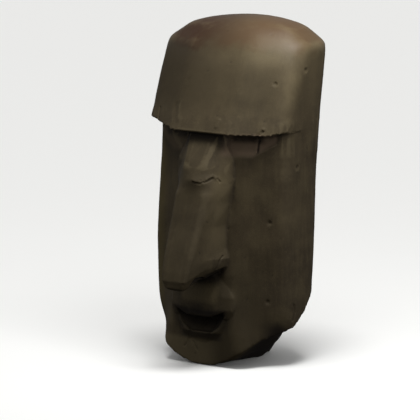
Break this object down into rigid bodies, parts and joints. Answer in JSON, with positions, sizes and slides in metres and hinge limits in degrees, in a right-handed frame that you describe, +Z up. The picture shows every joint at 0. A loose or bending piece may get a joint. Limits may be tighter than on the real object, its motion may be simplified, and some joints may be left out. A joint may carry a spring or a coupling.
{
  "type": "moai head statue",
  "caption": "Tall stone head carved from one block of volcanic tuff, with an overhanging brow, sunk eyes, a long nose and an open mouth, standing on its chin and a short neck.",
  "frame": {"origin": "middle of the bounding box seen from above, at the height of the underside that it stands on", "axes": "+Z up, the face looks along -Y, +X is the statue's own left"},
  "size_m": [0.7538, 0.826, 1.534],
  "materials": {
    "tuff": "weathered, pitted volcanic tuff, worn smooth, with a dull sheen on the crown"
  },
  "bodies": {
    "root": {"moai_head": "tuff"}
  },
  "joints": []
}
